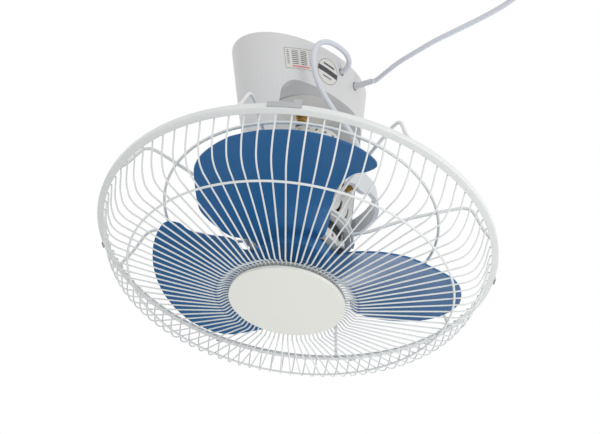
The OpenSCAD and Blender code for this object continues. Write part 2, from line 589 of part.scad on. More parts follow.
module layshaft() color(steel) head() translate([0, lay_offset, 0]) {
  rod(lay_r, rear_t1 + 0.4, gear_t1 + 4);
  rod(wheel_r, rear_t1 + 3, rear_t1 + 8);
  rod(pinion_r, rear_t1 + 8, gear_t1 - 0.6);
}
module crank_shaft() color(steel) head() {
  rod(4, gear_t1 - 9.5, cover_t2 + 6.5);
  rod(wheel_r, gear_t1 - 7.5, gear_t1 - 2.5);
}
module crank_arm() color(steel) head() rotate([0, 0, crank_a]) difference() {
  union() {
    rod(9, cover_t2 + 1.6, cover_t2 + 5.6);
    translate([0, -6, cover_t2 + 1.6]) cube([crank_r, 12, 4]);
    translate([crank_r, 0, cover_t2 + 1.6]) cylinder(r = 7, h = 4);
  }
  rod(4.03, cover_t2, cover_t2 + 8);
  translate([crank_r, 0, cover_t2]) cylinder(r = 3.03, h = 8);
}
module crank_cup() color(brass) head() rotate([0, 0, crank_a]) translate([crank_r, 0, 0]) difference() {
  union() {
    rod(3, cover_t2 + 0.8, cover_t2 + 5.6);
    rod(6.8, cover_t2 + 5.6, cover_t2 + 9.6);
  }
  translate([0, 0, cover_t2 + 12]) sphere(r = 5.4);
}

// ---------- guard ----------
wire_d = 2.2;
band_t = 0.7;
band_back = -5;
band_front = band_back - rim_w;
// The two rim wires lie side by side in the band
wire_in = band_t + 0.15 + wire_d / 2;
wire_r = rim_r - wire_in;
spoke_r0 = wire_r - wire_d / 2 - 0.2;
rib_r0 = spoke_r0 - rib_d / 2;
// Radii beyond the motor follow the rim
function grow(r) = r + (rim_r - 225) * (r - 90) / 125;
rib_path = concat([[rib_r0, band_back - 3], [rib_r0 - 0.3, band_back + 2.5]], [for (q = [[212, 10], [207, 22], [202.5, 34], [199, 41], [194, 45],
  [187, 46.4], [179, 45.6], [161, 42.7], [130, 36.6], [102, 27.5]]) [grow(q[0]), q[1]]],
  [for (q = [[24.5, 21.8], [16.5, 19.9], [8.5, 19.3], [3.1, 19.2]]) [lip_r + q[0], q[1]]]);
spoke_path = concat([[spoke_r0, band_front + wire_in], [rim_r - rim_lip - 1, band_front + wire_in],
  [rim_r - rim_lip - 2, band_front - 1.1]], [for (q = [[211.5, -28], [205, -43.5],
  [197, -52], [186, -55.4]]) [grow(q[0]), q[1]]],
  [for (q = [[17.4, -70.6], [11, -70.2], [5.8, -66.8], [-2.6, -65.8]]) [badge_r + q[0], q[1]]]);
inner_t = spoke_path[len(spoke_path) - 1][1] + spoke_d / 2 + 0.2;
badge_seat = 1.2;
badge_screw_r = 50;
badge_a = 20;
module rear_ribs() color(wire_white) head() wires(rib_path, rib_d, 8, ribs, phi0 - 14.5);
module rear_ring() color(wire_white) head()
  torus(rear_ring_r, 3.4, lookup(rear_ring_r, rib_path) - rib_d / 2 - 1.7 - 0.2);
module motor_ring() color(wire_white) head() difference() {
  z = rib_path[len(rib_path) - 1][1] + rib_d / 2;
  union() {
    torus(lip_r + 2.1, 3.4, z + 2);
    spin(4, 49) translate([lip_r - 1.2, -5, z + 0.2]) cube([6.5, 10, 1.6]);
  }
  rod(motor_r + 0.05, 0, 60);
}
module front_spokes() color(wire_white) head() wires(spoke_path, spoke_d, 6, spokes, phi0 - 2.1);
module front_ring() color(wire_white) head()
  torus(front_ring_r, front_ring_d, lookup(front_ring_r, spoke_path) - (spoke_d + front_ring_d) / 2 - 0.15);
module badge_ring() color(wire_white) head() difference() {
  pipe(badge_r - 0.6, 44, inner_t, inner_t + badge_seat);
  spin(3, badge_a) translate([badge_screw_r, 0, inner_t - 1]) cylinder(d = 3.4, h = badge_seat + 2, $fn = 24);
}
module front_rim_wire() color(wire_white) head() torus(wire_r, wire_d, band_front + wire_in);
module rear_rim_wire() color(wire_white) head() torus(wire_r, wire_d, band_back - wire_in);
module rim_band() color(wire_white) head() rotate_extrude() {
  translate([rim_r - band_t, band_front]) square([band_t, rim_w]);
  translate([rim_r - rim_lip, band_front]) square([rim_lip - band_t / 2, band_t]);
  translate([rim_r - 3, band_back - band_t]) square([3 - band_t / 2, band_t]);
}
// Clips that close the band: a lapped plate with a tab, two side hooks and small bottom hooks
module rim_clips() color([0.75, 0.75, 0.75]) head() {
  rotate([0, 0, phi0 - 92]) intersection() {
    pipe(rim_r + 1.15, rim_r + 0.15, band_front + 0.6, band_back + 5.4);
    union() {
      translate([150, -16, -60]) cube([100, 32, 61.2 + band_back]);
      translate([150, 8, -60]) cube([100, 8, 120]);
    }
  }
  for (a = [-1.5, 183, -70, -117]) rotate([0, 0, phi0 - a]) intersection() {
    pipe(rim_r + 1.4, rim_r + 0.15, band_front - 0.6, band_back + 1.2);
    translate([150, -4.5, -60]) cube([100, 9, 120]);
  }
}
badge_t = -73;
module badge() color([0.94, 0.94, 0.92]) head() difference() {
  union() {
    rod(badge_r, badge_t, badge_t + 1.6);
    pipe(badge_r, badge_r - 1.6, badge_t, badge_t + 3.8);
    spin(3, badge_a) translate([badge_screw_r, 0, badge_t + 1.5]) cylinder(r = 3.6, h = inner_t - 0.1 - badge_t - 1.5);
  }
  spin(3, badge_a) translate([badge_screw_r, 0, badge_t + 3]) cylinder(d = 3, h = 10, $fn = 24);
}
module badge_screws() color(steel) head() spin(3, badge_a)
  translate([badge_screw_r, 0, inner_t + badge_seat + 0.05]) pan_screw(3, 6, 5.4, 2);

canopy();
ceiling_plate();
canopy_screw();
orbit_drum();
drum_screws();
orbit_stud();
stud_nut();
leg_bushes();
nameplate();
round_label();
motor_cord_grommet();
mains_strain_relief();
terminal_block();
capacitor();
cord_clamp();
mains_cord();
ceiling_outlet();
outlet_gland();
motor_cord_loop();
motor_cord_tail();
ring_cord_clip();
motor_gland();
gimbal_ring();
leg_pivot_pins();
ring_pivots();
pivot_nuts();
front_cover();
stator_core();
windings();
rear_cover();
through_screws();
shaft_bearings();
gear_case();
gear_plate();
gear_cover();
crank_bush();
shaft();
motor_rotor();
blade_insert();
blades();
spinner_nut();
layshaft();
crank_shaft();
crank_arm();
crank_cup();
rear_ribs();
rear_ring();
motor_ring();
front_spokes();
front_ring();
badge_ring();
front_rim_wire();
rear_rim_wire();
rim_band();
rim_clips();
badge();
badge_screws();
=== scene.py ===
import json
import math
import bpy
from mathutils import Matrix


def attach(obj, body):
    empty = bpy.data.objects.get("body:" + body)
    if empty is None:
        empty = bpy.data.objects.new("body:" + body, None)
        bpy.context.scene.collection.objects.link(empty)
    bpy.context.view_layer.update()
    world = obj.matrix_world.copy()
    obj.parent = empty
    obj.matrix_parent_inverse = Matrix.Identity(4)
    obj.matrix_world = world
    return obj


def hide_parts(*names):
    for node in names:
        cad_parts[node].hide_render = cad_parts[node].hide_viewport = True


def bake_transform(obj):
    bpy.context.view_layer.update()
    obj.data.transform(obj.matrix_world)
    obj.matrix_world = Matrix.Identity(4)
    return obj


bl_info = {
    "name": "Orbital Ceiling Fan",
    "version": (1, 0, 0),
    "blender": (4, 5, 0),
    "location": "3D View > Sidebar > Fan",
    "description": "Dresses an orbital ceiling fan: canopy, gimbal, motor, blades, wire guard and cords",
    "category": "Object",
}

import bmesh
import bpy
from bpy.props import FloatProperty, FloatVectorProperty, IntProperty, PointerProperty
from mathutils import Matrix, Vector

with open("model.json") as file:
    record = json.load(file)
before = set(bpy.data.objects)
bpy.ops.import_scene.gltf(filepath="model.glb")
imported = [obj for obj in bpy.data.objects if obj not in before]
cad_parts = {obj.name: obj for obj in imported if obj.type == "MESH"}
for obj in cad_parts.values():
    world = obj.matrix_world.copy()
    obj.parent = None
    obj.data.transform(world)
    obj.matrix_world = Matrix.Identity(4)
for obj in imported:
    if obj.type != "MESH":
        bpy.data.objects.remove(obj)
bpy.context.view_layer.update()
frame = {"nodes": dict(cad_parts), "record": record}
NODES = frame["nodes"]
BODY = {n: b for b, ns in frame["record"]["behaviour"]["bodies"].items() for n in ns}

MM = 0.001
RAD = math.pi / 180

# The part's places: turns in degrees, and lengths in millimetres as everywhere below unless MM is applied
CANOPY_TURN, RING_REST, HEAD_REST, GUARD_TURN = 48.0, -4.86, 16.17, -48.28
PIVOT_DROP, MOTOR_BACK = 190.0, 64.0


def turned(angle, axis):
    return Matrix.Rotation(angle * RAD, 4, axis)


CANOPY = turned(CANOPY_TURN, "Z")
RING = Matrix.Translation((0, 0, -PIVOT_DROP)) @ CANOPY @ turned(RING_REST, "X")
# The head's axis is z, which points back to the gimbal, and z 0 lies just behind the rim band
HEAD = RING @ turned(HEAD_REST, "Y") @ Matrix.Translation((0, 0, -MOTOR_BACK))


def label_place(turn, x, z, tilt):
    """The frame of a label on the canopy's wall: x along it, y up and z outwards."""
    wall = CANOPY @ turned(turn, "Z") @ Matrix.Translation((x, 0, z)) @ turned(90, "X")
    return wall @ turned(tilt, "Z")


def linear(r, g, b):
    """A screen colour from 0 to 255 as the linear colour that a shader takes."""
    def one(c):
        c /= 255
        return c / 12.92 if c <= 0.04045 else ((c + 0.055) / 1.055) ** 2.4
    return (one(r), one(g), one(b))


# Each label's turn about the canopy's axis, place along the wall, height and tilt
PLATE_PLACE, ROUND_PLACE = (-23.7, -34.7, -28, 10), (-4.9, -12.1, -28.6, -5)


# ---------------------------------------------------------------- sizes and colours

class FanSizes(bpy.types.PropertyGroup):
    spoke: FloatProperty(name="Spoke", description="Diameter of a front spoke",
                         default=1.75 * MM, unit="LENGTH")
    rib: FloatProperty(name="Rib", description="Diameter of a rear rib",
                       default=3.8 * MM, unit="LENGTH")
    rim: FloatProperty(name="Rim radius", description="Radius of the rim band",
                       default=225 * MM, unit="LENGTH")
    rim_width: FloatProperty(name="Rim width", description="Width of the rim band",
                             default=6.4 * MM, unit="LENGTH")
    rim_lip: FloatProperty(name="Rim lip", description="Depth of the band's front lip",
                           default=7.5 * MM, unit="LENGTH")
    blade: FloatProperty(name="Blade thickness", description="Thickness of a blade",
                         default=2.2 * MM, unit="LENGTH")
    mains: FloatProperty(name="Mains cord", description="Diameter of the mains cord",
                         default=6 * MM, unit="LENGTH")
    motor_cord: FloatProperty(name="Motor cord", description="Diameter of the motor cord",
                              default=6.5 * MM, unit="LENGTH")
    spokes: IntProperty(name="Spokes", description="Number of front spokes", default=90, min=3)
    ribs: IntProperty(name="Ribs", description="Number of rear ribs", default=8, min=3)
    floor: FloatProperty(name="Floor", description="Depth of the floor below the ceiling",
                         default=0.72, unit="LENGTH")


class FanColours(bpy.types.PropertyGroup):
    shell: FloatVectorProperty(name="Canopy", description="Colour of the canopy's plastic", subtype="COLOR",
                               default=linear(214, 214, 215))
    cover: FloatVectorProperty(name="Covers", description="Colour of the painted covers", subtype="COLOR",
                               default=linear(226, 226, 223))
    wire: FloatVectorProperty(name="Wire", description="Colour of the guard's powder coat", subtype="COLOR",
                              default=linear(229, 232, 232))
    blade: FloatVectorProperty(name="Blades", description="Colour of the blades", subtype="COLOR",
                               default=linear(40, 100, 153))
    cord: FloatVectorProperty(name="Cords", description="Colour of the cords' sheath", subtype="COLOR",
                              default=linear(214, 217, 224))
    badge: FloatVectorProperty(name="Badge", description="Colour of the badge", subtype="COLOR",
                               default=linear(240, 241, 235))


# ---------------------------------------------------------------- shader groups

def socket(group, name, way, kind, default=None):
    s = group.interface.new_socket(name=name, in_out=way, socket_type=kind)
    if default is not None:
        s.default_value = default
    return s


def cast_surface():
    """Colour, roughness and height of a moulded or painted surface: broad mottle and fine grain."""
    group = bpy.data.node_groups.get("cast_surface")
    if group:
        return group
    group = bpy.data.node_groups.new("cast_surface", "ShaderNodeTree")
    socket(group, "Color", "INPUT", "NodeSocketColor", (0.8, 0.8, 0.8, 1))
    socket(group, "Shade", "INPUT", "NodeSocketColor", (0.7, 0.7, 0.7, 1))
    socket(group, "Mottle", "INPUT", "NodeSocketFloat", 0.3)
    socket(group, "Scale", "INPUT", "NodeSocketFloat", 30.0)
    socket(group, "Grain", "INPUT", "NodeSocketFloat", 900.0)
    socket(group, "Roughness", "INPUT", "NodeSocketFloat", 0.4)
    socket(group, "Spread", "INPUT", "NodeSocketFloat", 0.1)
    socket(group, "Color", "OUTPUT", "NodeSocketColor")
    socket(group, "Roughness", "OUTPUT", "NodeSocketFloat")
    socket(group, "Height", "OUTPUT", "NodeSocketFloat")
    n, link = group.nodes, group.links.new
    a, z = n.new("NodeGroupInput"), n.new("NodeGroupOutput")
    co = n.new("ShaderNodeTexCoord")
    broad = n.new("ShaderNodeTexNoise")
    broad.inputs["Detail"].default_value = 4
    grain = n.new("ShaderNodeTexNoise")
    grain.inputs["Detail"].default_value = 2
    link(co.outputs["Object"], broad.inputs["Vector"])
    link(co.outputs["Object"], grain.inputs["Vector"])
    link(a.outputs["Scale"], broad.inputs["Scale"])
    link(a.outputs["Grain"], grain.inputs["Scale"])
    amount = n.new("ShaderNodeMath")
    amount.operation = "MULTIPLY"
    link(broad.outputs["Fac"], amount.inputs[0])
    link(a.outputs["Mottle"], amount.inputs[1])
    mix = n.new("ShaderNodeMix")
    mix.data_type = "RGBA"
    link(amount.outputs[0], mix.inputs["Factor"])
    link(a.outputs["Color"], mix.inputs["A"])
    link(a.outputs["Shade"], mix.inputs["B"])
    link(mix.outputs["Result"], z.inputs["Color"])
    rough = n.new("ShaderNodeMath")
    rough.operation = "MULTIPLY_ADD"
    link(broad.outputs["Fac"], rough.inputs[0])
    link(a.outputs["Spread"], rough.inputs[1])
    link(a.outputs["Roughness"], rough.inputs[2])
    link(rough.outputs[0], z.inputs["Roughness"])
    link(grain.outputs["Fac"], z.inputs["Height"])
    return group


def fine_lines():
    """Mask of fine lines across a direction, for laminations, turned brass and drawn steel."""
    group = bpy.data.node_groups.get("fine_lines")
    if group:
        return group
    group = bpy.data.node_groups.new("fine_lines", "ShaderNodeTree")
    socket(group, "Vector", "INPUT", "NodeSocketVector")
    socket(group, "Pitch", "INPUT", "NodeSocketFloat", 500.0)
    socket(group, "Waver", "INPUT", "NodeSocketFloat", 0.3)
    socket(group, "Mask", "OUTPUT", "NodeSocketFloat")
    n, link = group.nodes, group.links.new
    a, z = n.new("NodeGroupInput"), n.new("NodeGroupOutput")
    wave = n.new("ShaderNodeTexWave")
    wave.wave_type = "BANDS"
    wave.bands_direction = "Z"
    wave.inputs["Detail"].default_value = 2
    link(a.outputs["Vector"], wave.inputs["Vector"])
    link(a.outputs["Pitch"], wave.inputs["Scale"])
    link(a.outputs["Waver"], wave.inputs["Distortion"])
    link(wave.outputs["Fac"], z.inputs["Mask"])
    return group


def calc(tree, operation, *values):
    """A number worked out from others, each of them a socket or plain."""
    node = tree.nodes.new("ShaderNodeMath")
    node.operation = operation
    for place, v in zip(node.inputs, values):
        if isinstance(v, (int, float)):
            place.default_value = v
        else:
            tree.links.new(v, place)
    return node.outputs[0]


def label_marks(kind):
    """Masks of a label's dark and red marks, from millimetres in its plane: a frame and rules, or a band."""
    group = bpy.data.node_groups.get(kind)
    if group:
        return group
    group = bpy.data.node_groups.new(kind, "ShaderNodeTree")
    socket(group, "Vector", "INPUT", "NodeSocketVector")
    socket(group, "Dark", "OUTPUT", "NodeSocketFloat")
    socket(group, "Red", "OUTPUT", "NodeSocketFloat")
    a, z = group.nodes.new("NodeGroupInput"), group.nodes.new("NodeGroupOutput")
    split = group.nodes.new("ShaderNodeSeparateXYZ")
    group.links.new(a.outputs["Vector"], split.inputs[0])
    x, y = split.outputs["X"], split.outputs["Y"]

    def c(operation, *values):
        return calc(group, operation, *values)

    def greatest(first, *others):
        for value in others:
            first = c("MAXIMUM", first, value)
        return first

    def beyond(v, middle, half):
        return c("SUBTRACT", c("ABSOLUTE", c("SUBTRACT", v, middle)), half)

    def box(middle_x, middle_y, half_x, half_y):
        return c("LESS_THAN", greatest(beyond(x, middle_x, half_x), beyond(y, middle_y, half_y)), 0.0)

    if kind == "plate_marks":
        frame_line = c("LESS_THAN", c("ABSOLUTE", greatest(beyond(x, 0, 18.4), beyond(y, 0, 13.0))), 0.2)
        rows = c("LESS_THAN", c("FRACT", c("MULTIPLY", y, 0.4)), 0.4)
        gaps = c("GREATER_THAN", c("FRACT", c("MULTIPLY_ADD", x, 0.085, 0.12)), 0.3)
        rules = c("MULTIPLY", c("MULTIPLY", rows, gaps), box(-0.5, 1.6, 15.5, 9.0))
        group.links.new(greatest(frame_line, rules), z.inputs["Dark"])
        group.links.new(box(2.0, -10.2, 12.0, 0.9), z.inputs["Red"])
    else:
        radius = c("SQRT", c("ADD", c("POWER", x, 2), c("POWER", y, 2)))
        outline = c("LESS_THAN", c("ABSOLUTE", c("SUBTRACT", radius, 16.6)), 0.25)
        band = box(0, 0, 16.2, 3.4)
        rules = greatest(box(0, 8.2, 9, 1.2), box(0, -8, 7, 0.8))
        group.links.new(greatest(outline, rules, band), z.inputs["Dark"])
    return group


def printed(name, kind, place):
    """Label film with plain marks in its own plane, whose frame is place."""
    mat = bpy.data.materials.get(name)
    if mat:
        return mat
    mat = finish(name, linear(216, 215, 212), linear(204, 203, 199), 0.45, 0.1, 0.4, 60, 1200, 0.05)
    n, link = mat.node_tree.nodes, mat.node_tree.links.new
    skin = n["Principled BSDF"]
    film = skin.inputs["Base Color"].links[0].from_socket
    co, lay, marks = n.new("ShaderNodeTexCoord"), n.new("ShaderNodeMapping"), n.new("ShaderNodeGroup")
    back = place.inverted()
    lay.vector_type = "POINT"
    lay.inputs["Scale"].default_value = (1 / MM, 1 / MM, 1 / MM)
    lay.inputs["Rotation"].default_value = back.to_3x3().to_euler()
    lay.inputs["Location"].default_value = back.translation
    marks.node_tree = label_marks(kind)
    link(co.outputs["Object"], lay.inputs["Vector"])
    link(lay.outputs["Vector"], marks.inputs["Vector"])
    for mask, ink in (("Dark", linear(66, 66, 70)), ("Red", linear(222, 120, 132))):
        over = n.new("ShaderNodeMix")
        over.data_type = "RGBA"
        link(marks.outputs[mask], over.inputs["Factor"])
        link(film, over.inputs["A"])
        over.inputs["B"].default_value = (*ink, 1)
        film = over.outputs["Result"]
    link(film, skin.inputs["Base Color"])
    return mat


COAT_ROUGHNESS, BUMP_DEPTH, LINE_WAVER = 0.12, 0.4 * MM, 0.15


def finish(name, color, shade, rough, spread, mottle, scale, grain, bump, metal=0.0, coat=0.0, specular=0.5,
           lines=None):
    """A material of the shared groups, in which mottle blends shade into color at scale, under a fine grain.

    Lines holds the scale of fine lines, their colour and bump, and the frame whose z axis they cross.
    """
    mat = bpy.data.materials.get(name)
    if mat:
        return mat
    mat = bpy.data.materials.new(name)
    mat.use_nodes = True
    n, link = mat.node_tree.nodes, mat.node_tree.links.new
    skin = n["Principled BSDF"]
    skin.inputs["Metallic"].default_value = metal
    skin.inputs["Specular IOR Level"].default_value = specular
    if coat:
        skin.inputs["Coat Weight"].default_value = coat
        skin.inputs["Coat Roughness"].default_value = COAT_ROUGHNESS
    base = n.new("ShaderNodeGroup")
    base.node_tree = cast_surface()
    base.inputs["Color"].default_value = (*color, 1)
    base.inputs["Shade"].default_value = (*shade, 1)
    base.inputs["Mottle"].default_value = mottle
    base.inputs["Scale"].default_value = scale
    base.inputs["Grain"].default_value = grain
    base.inputs["Roughness"].default_value = rough
    base.inputs["Spread"].default_value = spread
    link(base.outputs["Roughness"], skin.inputs["Roughness"])
    push = n.new("ShaderNodeBump")
    push.inputs["Strength"].default_value = bump
    push.inputs["Distance"].default_value = BUMP_DEPTH
    link(base.outputs["Height"], push.inputs["Height"])
    color_out, normal_out = base.outputs["Color"], push.outputs["Normal"]
    if lines:
        pitch, line_color, line_bump, where = lines
        co = n.new("ShaderNodeTexCoord")
        lay = n.new("ShaderNodeMapping")
        lay.vector_type = "POINT"
        lay.inputs["Rotation"].default_value = where.to_3x3().transposed().to_euler()
        link(co.outputs["Object"], lay.inputs["Vector"])
        cross = n.new("ShaderNodeGroup")
        cross.node_tree = fine_lines()
        cross.inputs["Pitch"].default_value = pitch
        cross.inputs["Waver"].default_value = LINE_WAVER
        link(lay.outputs["Vector"], cross.inputs["Vector"])
        tint = n.new("ShaderNodeMix")
        tint.data_type = "RGBA"
        link(cross.outputs["Mask"], tint.inputs["Factor"])
        link(color_out, tint.inputs["A"])
        tint.inputs["B"].default_value = (*line_color, 1)
        ridge = n.new("ShaderNodeBump")
        ridge.inputs["Strength"].default_value = line_bump
        ridge.inputs["Distance"].default_value = BUMP_DEPTH
        link(cross.outputs["Mask"], ridge.inputs["Height"])
        link(normal_out, ridge.inputs["Normal"])
        color_out, normal_out = tint.outputs["Result"], ridge.outputs["Normal"]
    link(color_out, skin.inputs["Base Color"])
    link(normal_out, skin.inputs["Normal"])
    return mat


def finishes(c):
    """Every finish of the fan, with roughness and its spread, mottle and its scale, grain and its bump."""
    def near(color, k):
        return tuple(x * k for x in color)

    def plain(name, color, k, *values, **more):
        return finish(name, tuple(color), near(color, k), *values, **more)

    steel_line, brass_line = linear(130, 132, 134), linear(140, 104, 46)
    core_line, copper_line = linear(44, 47, 46), linear(96, 48, 22)
    return {
        "shell": plain("canopy_plastic", c.shell, 0.9, 0.34, 0.1, 0.35, 14, 700, 0.05),
        "cover": plain("painted_cover", c.cover, 0.86, 0.38, 0.12, 0.4, 26, 800, 0.1),
        "ring": finish("painted_ring", linear(216, 219, 223), linear(196, 199, 204),
                       0.4, 0.1, 0.4, 30, 800, 0.1),
        "wire": plain("powder_coat", c.wire, 0.88, 0.3, 0.1, 0.4, 40, 1500, 0.12),
        "clip": finish("clip_zinc", linear(190, 192, 194), linear(150, 152, 155),
                       0.35, 0.15, 0.5, 60, 900, 0.1, metal=0.6),
        "blade": plain("blade_plastic", c.blade, 0.86, 0.3, 0.08, 0.45, 9, 500, 0.02, specular=0.24),
        "badge": plain("badge_plastic", c.badge, 0.93, 0.3, 0.08, 0.3, 18, 600, 0.03, coat=0.2),
        "plate": printed("nameplate_film", "plate_marks", label_place(*PLATE_PLACE)),
        "round": printed("round_label_film", "band_marks", label_place(*ROUND_PLACE)),
        "cord": plain("cord_sheath", c.cord, 0.95, 0.5, 0.05, 0.3, 8, 150, 0.01, specular=0.35),
        "relief": finish("relief_rubber", linear(205, 206, 210), linear(180, 182, 186),
                         0.55, 0.1, 0.4, 60, 700, 0.05),
        "grommet": finish("grommet_rubber", linear(58, 58, 60), linear(40, 40, 42),
                          0.6, 0.1, 0.4, 60, 900, 0.1),
        "grey": finish("grey_plastic", linear(150, 152, 156), linear(120, 122, 126),
                       0.5, 0.1, 0.4, 50, 900, 0.1),
        "steel": finish("turned_steel", linear(176, 178, 180), linear(130, 132, 134),
                        0.3, 0.15, 0.5, 90, 900, 0.1, metal=0.9, lines=(420, steel_line, 0.1, HEAD)),
        "brass": finish("turned_brass", linear(214, 174, 98), linear(140, 102, 46),
                        0.3, 0.2, 0.6, 120, 900, 0.1, metal=0.85, lines=(380, brass_line, 0.15, RING)),
        "core": finish("core_laminations", linear(92, 98, 96), linear(60, 64, 63),
                       0.42, 0.15, 0.6, 70, 900, 0.15, metal=0.45, lines=(620, core_line, 0.7, HEAD)),
        "copper": finish("winding_copper", linear(176, 106, 60), linear(120, 62, 30),
                         0.35, 0.1, 0.5, 90, 900, 0.15, metal=0.7, lines=(700, copper_line, 0.6, HEAD)),
        "nut": finish("spinner_plastic", linear(70, 76, 86), linear(50, 55, 64),
                      0.4, 0.1, 0.4, 60, 900, 0.1),
    }


# ---------------------------------------------------------------- modelling helpers

# Welding distance in metres, and the least fold that shows as an edge and that is kept at all, in degrees
WELD, CREASE, FLAT = 2e-6, 34.0, 0.4
HOOP_STEPS, HOOP_SIDES, TUBE_SIDES, TUBE_CREASE = 160, 12, 14, 60


def settle(bm, name, mat, body, where=None, crease=CREASE, ease=0.0, segments=2, nodes=()):
    """Makes a finished piece of a bmesh drawn in millimetres in the frame where; ease rounds its edges.

    Without a frame the bmesh is in metres, in its place, with its faces pointing outwards.
    """
    if where is not None:
        bmesh.ops.transform(bm, matrix=Matrix.Scale(MM, 4) @ where, verts=bm.verts)
    bmesh.ops.remove_doubles(bm, verts=bm.verts, dist=WELD)
    if where is not None:
        bmesh.ops.recalc_face_normals(bm, faces=bm.faces)
    for f in bm.faces:
        f.smooth = True
    for e in bm.edges:
        e.smooth = len(e.link_faces) == 2 and e.calc_face_angle(0) < crease * RAD
    mesh = bpy.data.meshes.new(name)
    bm.to_mesh(mesh)
    bm.free()
    piece = bpy.data.objects.new(name, mesh)
    bpy.context.scene.collection.objects.link(piece)
    mesh.materials.append(mat)
    if ease:
        round_off = piece.modifiers.new("eased edges", "BEVEL")
        round_off.width = ease * MM
        round_off.segments = segments
        round_off.limit_method = "ANGLE"
        round_off.angle_limit = crease * RAD
        round_off.use_clamp_overlap = True
        round_off.harden_normals = True
    if body:
        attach(piece, body)
    if nodes:
        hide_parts(*nodes)
    return piece


def eased(node, mat, ease, crease=CREASE, segments=2):
    """The construction's own shape of a node, with its loose triangles joined and its edges rounded."""
    bm = bmesh.new()
    bm.from_mesh(NODES[node].data)
    bmesh.ops.remove_doubles(bm, verts=bm.verts, dist=WELD)
    bmesh.ops.dissolve_limit(bm, angle_limit=FLAT * RAD, verts=bm.verts, edges=bm.edges)
    return settle(bm, node + "_eased", mat, BODY[node], None, crease, ease, segments, (node,))


def lathe(profile, steps):
    """A bmesh turned from a closed profile of [radius, z] points in millimetres."""
    bm = bmesh.new()
    verts = [bm.verts.new((r, 0, z)) for r, z in profile]
    edges = [bm.edges.new((verts[i], verts[(i + 1) % len(verts)])) for i in range(len(verts))]
    bmesh.ops.spin(bm, geom=verts + edges, cent=(0, 0, 0), axis=(0, 0, 1), angle=2 * math.pi, steps=steps,
                   use_merge=True)
    return bm


def hoop(radius, wire, z):
    """A wire ring: a round section turned about the axis."""
    around = [k * 2 * math.pi / HOOP_SIDES for k in range(HOOP_SIDES)]
    return lathe([(radius + wire / 2 * math.cos(a), z + wire / 2 * math.sin(a)) for a in around], HOOP_STEPS)


def curved(points, steps):
    """Points along the smooth curve through hand-set points."""
    p = [Vector(q) for q in points]
    p = [2 * p[0] - p[1]] + p + [2 * p[-1] - p[-2]]
    out = []
    for i in range(1, len(p) - 2):
        a, b, c, d = p[i - 1:i + 3]
        for j in range(steps):
            t = j / steps
            out.append(0.5 * (2 * b + (c - a) * t + (2 * a - 5 * b + 4 * c - d) * t * t
                              + (3 * b - a - 3 * c + d) * t * t * t))
    return out + [p[-2]]


def wires(name, runs, radius, mat, body, nodes, resolution):
    """Round wire along each run of points, which are in metres in the frame of the whole part."""
    curve = bpy.data.curves.new(name, "CURVE")
    curve.dimensions = "3D"
    curve.bevel_depth = radius
    curve.bevel_resolution = resolution
    curve.use_fill_caps = True
    for run in runs:
        s = curve.splines.new("POLY")
        s.points.add(len(run) - 1)
        for q, v in zip(s.points, run):
            q.co = (*v, 1)
        s.use_smooth = True
    curve.materials.append(mat)
    piece = bpy.data.objects.new(name, curve)
    bpy.context.scene.collection.objects.link(piece)
    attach(piece, body)
    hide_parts(*nodes)
    return piece


def tube(name, run, radius, mat):
    """A mesh tube along a run of points in metres: a circle carried along it, ring by ring, and bridged."""
    bm = bmesh.new()
    rings = []
    # a way up that no run starts along
    up = Vector((0.3, 0.35, 0.89))
    for i, p in enumerate(run):
        way = (run[min(i + 1, len(run) - 1)] - run[max(i - 1, 0)]).normalized()
        side = way.cross(up).normalized()
        up = side.cross(way).normalized()
        turn = Matrix((side, up, way)).transposed().to_4x4()
        made = bmesh.ops.create_circle(bm, cap_ends=False, radius=radius, segments=TUBE_SIDES,
                                       matrix=Matrix.Translation(p) @ turn)
        rings.append(made["verts"])
    for a, b in zip(rings, rings[1:]):
        edges = {e for v in a + b for e in v.link_edges}
        around = [e for e in edges if set(e.verts) <= set(a) or set(e.verts) <= set(b)]
        bmesh.ops.bridge_loops(bm, edges=around)
    for ring in (rings[0], rings[-1]):
        bmesh.ops.contextual_create(bm, geom=ring)
    bmesh.ops.recalc_face_normals(bm, faces=bm.faces)
    return settle(bm, name, mat, None, crease=TUBE_CREASE)


def look():
    """The sizes and the finishes in use."""
    s = bpy.context.scene
    return s.fan_sizes, finishes(s.fan_colours)


# ---------------------------------------------------------------- camera and stage

# Place in metres, tilt in degrees, sensor and lens in millimetres, and nearest view in metres
CAMERA_PLACE, CAMERA_TILT = (-0.00252, -0.81553, -0.58125), 115
SENSOR, LENS, NEAR_CLIP = 36, 45.33, 0.02
# Half width of the floor, and the point at which every lamp is aimed, in metres
FLOOR_HALF, AIM = 6, (0, 0, -0.2)
# Each lamp's name, place and size in metres, power in watts and colour
LAMPS = (
    ("key", (0.9, -1.1, -0.2), 0.8, 2.5, (1, 1, 0.99)),
    ("right", (0.6, -0.35, -0.62), 0.5, 1.2, (1, 1, 1)),
    ("back", (0.25, 0.95, -0.5), 0.6, 2.2, (1, 1, 1)),
    ("front", (-0.5, -1.2, -0.4), 0.8, 0.8, (1, 1, 1)),
)
SOFT_LIGHT = 0.8


class FAN_OT_camera(bpy.types.Operator):
    """Sets the camera at the photograph's angle"""
    bl_idname = "fan.camera"
    bl_label = "Camera"

    def execute(self, context):
        data = bpy.data.cameras.new("camera")
        data.sensor_fit = "HORIZONTAL"
        data.sensor_width = SENSOR
        data.lens = LENS
        data.clip_start = NEAR_CLIP
        cam = bpy.data.objects.new("camera", data)
        cam.location = CAMERA_PLACE
        cam.rotation_euler = (CAMERA_TILT * RAD, 0, 0)
        context.scene.collection.objects.link(cam)
        context.scene.camera = cam
        return {"FINISHED"}


